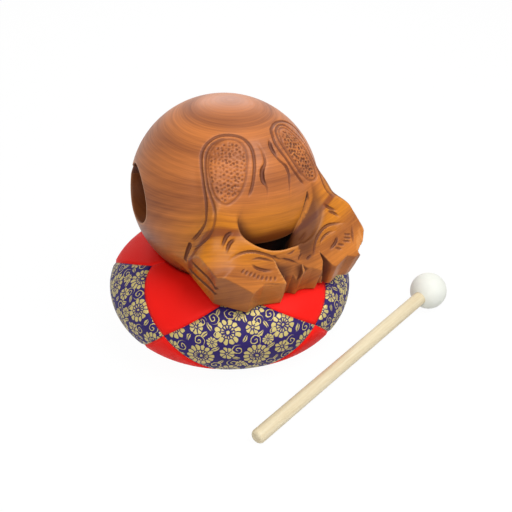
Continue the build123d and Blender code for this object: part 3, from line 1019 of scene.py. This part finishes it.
def camphor():
    """Oiled camphor wood: growth rings round the log's axis, fine fibres, with painted shade in the cuts,
    crevices and finger pocket and on faces turned sideways or down, and lighter edges that are partly wear
    and partly painted highlight.
    """
    wood = Finish("camphor_wood", Specular_IOR_Level=0.36)
    place = wood.place()
    centred = wood.vector("SUBTRACT", place, LOG_HEART)
    reach = wood.along(centred, (0, -math.cos(PITCH), -math.sin(PITCH)))
    rise = wood.along(centred, (0.05, -math.sin(PITCH), math.cos(PITCH)))
    across = wood.along(centred, (1, 0, 0))
    wander = wood.noise(place, 9.0, 2.0) - 0.5
    ring = (across * across * 0.75 + reach * reach) ** 0.5 + wander * 0.011
    year = wood.sine(ring, YEAR_RING) * 0.5 + 0.5
    broad = wood.sine(ring + BROAD_RING_START, BROAD_RING) * 0.5 + 0.5
    layer = ring - rise * 0.5
    fibre_sockets = {"X": layer, "Y": rise * 0.05, "Z": across * 0.04}
    fibre_place = wood.node("ShaderNodeCombineXYZ", None, fibre_sockets)
    fibre = wood.noise(fibre_place, 1100.0, 3.0, 0.6)
    streak = wood.noise(fibre_place, 380.0, 3.0, 0.6)
    wide = wood.noise(fibre_place, 110.0, 2.0, 0.5)
    blotch = wood.noise(place, 34.0, 2.0)
    band = wood.between(ring, 0.0755, 0.0772) * (1 - wood.between(ring, 0.0785, 0.0800))
    calm = wood.between(ring, 0.004, 0.024)
    grain = (fibre * 0.26 + streak * 0.24 + wide * 0.28 - 0.39) * calm + 0.39
    tone = year * 0.02 + broad * 0.10 + grain + blotch * 0.10 + band * 0.24
    dark = wood.between(tone, 0.25, 0.80)
    heart = wood.mixed(dark, shade(210, 124, 58), shade(114, 56, 28))
    sap = wood.mixed(dark, shade(226, 138, 18), shade(136, 66, 4))
    belly = wood.between(ring, 0.062, 0.076) * (1 - wood.between(ring, 0.086, 0.096) * 0.6)
    colour = wood.mixed(belly, heart, sap)
    crevice_shade = wood.mask("crevice_shade")
    pocket_shade = wood.mask("pocket_shade")
    # Painted shade on faces turned sideways or down.
    colour = wood.mixed(wood.mask("side_and_under_shade") * 0.5, colour, shade(86, 38, 30))
    # Lighter edges: partly rubbed wear, partly a painted highlight.
    colour = wood.mixed(wood.between(wood.mask("edge_wear_and_highlight"), 0.20, 0.55) * 0.4, colour, shade(232, 160, 92))
    # Painted shade in crevices, recesses, the finger hole's walls and the valley between the heads.
    colour = wood.mixed(wood.between(crevice_shade, 0.08, 0.55) * 0.85, colour, shade(78, 32, 10))
    # Painted shade in the carved cuts and pits.
    colour = wood.mixed(wood.between(wood.mask("cut_shade"), 0.15, 0.85) * 0.72, colour, shade(92, 40, 12))
    # Painted shadow, near black, in the finger pocket.
    colour = wood.mixed(pocket_shade * 0.95, colour, shade(14, 6, 3))
    wood.paint(colour, 0.32 + fibre * 0.16 + crevice_shade * 0.4 + pocket_shade * 0.2)
    wood.bump(fibre * 0.6 + year * 0.15, 0.2, 0.0003)
    return wood.material


# Steps of the cloths' weaves and the brocade's repeat, in cm on the flat cloth.
TWILL = 0.06
WEAVE = 0.05
RIB = 0.045
REPEAT = 3.4


def satin():
    """Red satin: a fine twill that shines across its threads."""
    cloth = Finish("red_satin", Specular_IOR_Level=0.15)
    uv = cloth.place("UV")
    u, v = (cloth.node("ShaderNodeSeparateXYZ", None, {0: uv}, axis) for axis in "XY")
    twill = cloth.sine(u + v, TWILL) * 0.5 + 0.5
    soft = cloth.noise(uv, 0.7, 2.0)
    fine = cloth.noise(uv, 14.0, 2.0)
    tone = twill * 0.25 + soft * 0.45 + fine * 0.30
    cloth.paint(cloth.mixed(tone, shade(244, 20, 14), shade(255, 32, 22)), 0.50 + fine * 0.12)
    cloth.bump(twill * 0.4 + soft * 2.0 + fine * 0.5, 0.25, 0.0004)
    return cloth.material


def brocade():
    """Violet brocade with flowers, leaves and tendrils woven in gold thread."""
    cloth = Finish("violet_brocade", Specular_IOR_Level=0.3)
    uv = cloth.place("UV")

    def wandering(axis, start):
        noise = cloth.noise(cloth.vector("ADD", uv, start), 2.6, 2.0) - 0.5
        return cloth.node("ShaderNodeSeparateXYZ", None, {0: uv}, axis) + noise * 0.22

    u = wandering("X", (0.0, 0.0, 0.0))
    v = wandering("Y", (9.0, 4.0, 0.0))

    def repeated(value, at):
        return (value - at + 100 * REPEAT + REPEAT / 2).maths("MODULO", REPEAT) - REPEAT / 2

    def local(at_u, at_v, turn):
        a = repeated(u, at_u)
        b = repeated(v, at_v)
        c = math.cos(turn)
        s = math.sin(turn)
        return a * c + b * s, b * c - a * s

    def petals_of(far, angle, count, size, heart):
        lobe = (angle * (count / 2)).maths("SINE").maths("ABSOLUTE")
        edge = size * (0.76 + 0.24 * lobe ** 0.6)
        inside = 1 - cloth.between(far, edge - 0.03, edge + 0.02)
        gap = cloth.between(lobe * far, 0.16, 0.40)
        return inside * gap * cloth.between(far, heart, heart + 0.03)

    def flower(at_u, at_v, size, count, turn):
        a, b = local(at_u, at_v, turn)
        far = (a * a + b * b) ** 0.5 / size
        angle = b.maths("ARCTAN2", a)
        outer = petals_of(far, angle, count, 1.0, 0.20)
        if size < 0.6:
            return outer.maths("MAXIMUM", 1 - cloth.between(far, 0.12, 0.16))
        outer = outer * cloth.between(far, 0.56, 0.60)
        inner = petals_of(far, angle + math.pi / count, count, 0.52, 0.17)
        return outer.maths("MAXIMUM", inner).maths("MAXIMUM", 1 - cloth.between(far, 0.10, 0.13))

    def leaf(at_u, at_v, long, wide, turn):
        a, b = local(at_u, at_v, turn)
        bulge = 1 - (a / long) * (a / long)
        inside = bulge * wide - b.maths("ABSOLUTE")
        vein = cloth.between(b.maths("ABSOLUTE"), 0.015, 0.04)
        return cloth.between(inside, 0.0, 0.03) * vein

    def tendril(at_u, at_v, size, turn):
        a, b = local(at_u, at_v, turn)
        far = (a * a + b * b) ** 0.5
        angle = b.maths("ARCTAN2", a) / (2 * math.pi) + 0.5
        coil = (far / (size / 1.6) - angle).maths("FRACT") - 0.5
        line = 1 - cloth.between(coil.maths("ABSOLUTE"), 0.09, 0.14)
        return line * (1 - cloth.between(far, size * 0.95, size))

    motifs = [
        flower(0.85, 0.85, 0.84, 14, 0.2), flower(2.55, 2.55, 0.78, 12, 0.5),
        flower(2.45, 0.55, 0.46, 8, 0.1), flower(0.65, 2.35, 0.44, 8, 0.6),
        flower(3.25, 1.55, 0.32, 8, 0.3), flower(1.55, 3.2, 0.34, 10, 0.0),
        leaf(2.05, 1.35, 0.30, 0.13, 2.2), leaf(0.2, 1.75, 0.34, 0.14, 1.3),
        leaf(1.1, 2.75, 0.32, 0.13, -0.7), leaf(3.0, 0.95, 0.3, 0.12, 0.2),
        leaf(1.75, 0.25, 0.34, 0.14, 2.6), leaf(0.15, 3.0, 0.3, 0.12, 2.0),
        leaf(1.45, 2.25, 0.3, 0.12, 1.2),
        tendril(2.80, 1.45, 0.40, 0.4), tendril(1.0, 1.98, 0.36, 2.0), tendril(1.72, 1.72, 0.40, 4.0),
        tendril(3.1, 0.3, 0.38, 1.0), tendril(0.75, 3.15, 0.38, 3.2), tendril(1.85, 2.75, 0.32, 5.0),
    ]
    gold = motifs[0]
    for motif in motifs[1:]:
        gold = gold.maths("MAXIMUM", motif)
    weave = cloth.sine(u, WEAVE) * cloth.sine(v, WEAVE) * 0.5 + 0.5
    rib = cloth.sine(v, RIB) * 0.5 + 0.5
    soft = cloth.noise(uv, 1.2, 2.0)
    ground = cloth.mixed(weave * 0.5 + soft * 0.5, shade(22, 10, 70), shade(52, 30, 116))
    thread = cloth.mixed(rib * 0.6 + soft * 0.4, shade(168, 144, 70), shade(236, 222, 148))
    cloth.paint(cloth.mixed(gold, ground, thread), 0.62 - gold * 0.2)
    cloth.feed(cloth.shader.inputs["Metallic"], gold * 0.25)
    cloth.bump(gold + weave * 0.3, 0.35, 0.0003)
    return cloth.material


def cotton_wadding():
    """Undyed cotton wadding."""
    cotton = Finish("cotton_stuffing")
    tuft = cotton.noise(cotton.place(), 160.0, 4.0)
    cotton.paint(cotton.mixed(tuft, shade(206, 196, 176), shade(240, 234, 220)), 0.9)
    cotton.bump(tuft, 0.5, 0.001)
    return cotton.material


# The way the mallet's stick lies on the floor.
STICK_TURN = math.radians(194.5)


def pale_wood():
    """Sanded pale hardwood with grain along the stick."""
    wood = Finish("mallet_wood")
    place = wood.place()
    along = wood.along(place, (math.cos(STICK_TURN), math.sin(STICK_TURN), 0))
    over = wood.along(place, (-math.sin(STICK_TURN), math.cos(STICK_TURN), 0))
    up = wood.along(place, (0, 0, 1))
    spread = wood.node("ShaderNodeCombineXYZ", None, {"X": along * 0.035, "Y": over, "Z": up})
    grain = wood.noise(spread, 700.0, 4.0, 0.6)
    broad = wood.noise(spread, 160.0, 2.0)
    tone = grain * 0.6 + broad * 0.4
    colour = wood.mixed(wood.between(tone, 0.3, 0.7), shade(220, 202, 164), shade(236, 224, 192))
    wood.paint(colour, 0.5 + grain * 0.1)
    wood.bump(grain, 0.2, 0.0003)
    return wood.material


def white_rubber():
    """Matt white rubber with a moulded skin."""
    rubber = Finish("mallet_rubber")
    place = rubber.place()
    speck = rubber.noise(place, 900.0, 2.0)
    cloud = rubber.noise(place, 60.0, 2.0)
    rubber.paint(rubber.mixed(cloud, shade(232, 234, 224), shade(248, 250, 242)), 0.55 + speck * 0.15)
    rubber.bump(speck, 0.15, 0.0003)
    return rubber.material


def dress(obj, material):
    obj.data.materials.clear()
    obj.data.materials.append(material)


finishes = {
    "camphor_wood": camphor(), "red_satin": satin(), "violet_brocade": brocade(),
    "cotton_stuffing": cotton_wadding(), "mallet_wood": pale_wood(), "mallet_rubber": white_rubber(),
}

fish = carved_fish()
dress(fish, finishes["camphor_wood"])
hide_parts("wooden_fish")
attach(fish, "fish")

points, outward, patches, faces, cloth = sewn_cushion()
stuffing = mesh_object("cushion_stuffing", points - outward * UNDER_CLOTH, faces)
dress(stuffing, finishes["cotton_stuffing"])
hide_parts("stuffing")
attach(stuffing, "cushion")

PATCH_NAMES = {"top": "red_top_patch", "brocade": "brocade_patch", "base": "red_base_patch"}
for (kind, number), numbers in patches.items():
    node = f"{PATCH_NAMES[kind]}_{number + 1}"
    cover, flat, area = cloth_patch(f"{node}_cloth", points, outward, numbers, cloth[kind, number])
    slot = "violet_brocade" if kind == "brocade" else "red_satin"
    dress(cover, finishes[slot])
    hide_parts(node)
    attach(cover, "cushion")
    flat[0] * MM
    flat[1] * MM
    area * MM * MM

for node, slot in (("mallet_stick", "mallet_wood"), ("mallet_head", "mallet_rubber")):
    dress(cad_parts[node], finishes[slot])

# Floor, light and camera, in m.
FLOOR_HALF = 3.0
FLOOR_DROP = 0.0006
FLOOR_GREY = 0.65
FLOOR_SEEN = 0.94
FLOOR_GLOW = 1.03
SKY_LIGHT = 0.28
SKY_SEEN = 1.0


def white_floor():
    """A floor that takes shadows and looks white."""
    signs = ((-1, -1), (1, -1), (1, 1), (-1, 1))
    corners = [(x * FLOOR_HALF, y * FLOOR_HALF, -FLOOR_DROP) for x, y in signs]
    mesh = bpy.data.meshes.new("floor")
    mesh.from_pydata(corners, [], [(0, 1, 2, 3)])
    made = bpy.data.objects.new("floor", mesh)
    bpy.context.scene.collection.objects.link(made)
    white = Finish("floor", Base_Color=(FLOOR_GREY, FLOOR_GREY, FLOOR_GREY, 1.0), Roughness=0.9)
    surface = Term(white, white.shader.outputs[0])
    glow = white.node("ShaderNodeEmission", None, {"Color": (1, 1, 1, 1), "Strength": FLOOR_GLOW})
    shares = {0: white.seen_rays() * FLOOR_SEEN, 1: surface, 2: glow}
    blend = white.node("ShaderNodeMixShader", None, shares)
    white.feed(white.tree.nodes["Material Output"].inputs["Surface"], blend)
    dress(made, white.material)
    return made


def white_sky():
    """A world that lights softly and looks white."""
    world = bpy.data.worlds.new("studio")
    bpy.context.scene.world = world
    world.use_nodes = True
    sky = Nodes(world.node_tree)
    background = sky.tree.nodes["Background"]
    sky.feed(background.inputs["Color"], (1, 1, 1, 1))
    levels = {"Value": sky.seen_rays(), "To Min": SKY_LIGHT, "To Max": SKY_SEEN}
    sky.feed(background.inputs["Strength"], sky.node("ShaderNodeMapRange", None, levels))


def lamp(name, place, target, size, power):
    light = bpy.data.lights.new(name, "AREA")
    light.shape = "DISK"
    light.size = size
    light.energy = power
    made = bpy.data.objects.new(name, light)
    made.location = place
    made.rotation_euler = (Vector(target) - Vector(place)).to_track_quat("-Z", "Y").to_euler()
    bpy.context.scene.collection.objects.link(made)


floor = white_floor()
white_sky()
lamp("key", (0.16, -0.42, 0.80), (0.0, -0.02, 0.08), 0.6, 4.8)
lamp("back", (0.43, 0.62, 0.55), (0.0, 0.0, 0.12), 0.5, 1.8)
lamp("front", (-0.48, -0.50, 0.60), (0.0, 0.0, 0.04), 0.5, 2.5)

CAMERA_PLACE = (-0.279, -0.429, 0.354)
CAMERA_TURN = (59.0, 0.0, -35.0)
FOCAL_PIXELS = 900.0
FRAME_PIXELS = 512.0
camera_data = bpy.data.cameras.new("camera")
camera_data.sensor_width = 36.0
camera_data.lens = FOCAL_PIXELS / FRAME_PIXELS * camera_data.sensor_width
camera = bpy.data.objects.new("camera", camera_data)
camera.location = CAMERA_PLACE
camera.rotation_euler = [math.radians(a) for a in CAMERA_TURN]
bpy.context.scene.collection.objects.link(camera)
bpy.context.scene.camera = camera
bpy.context.scene.view_settings.view_transform = "Standard"
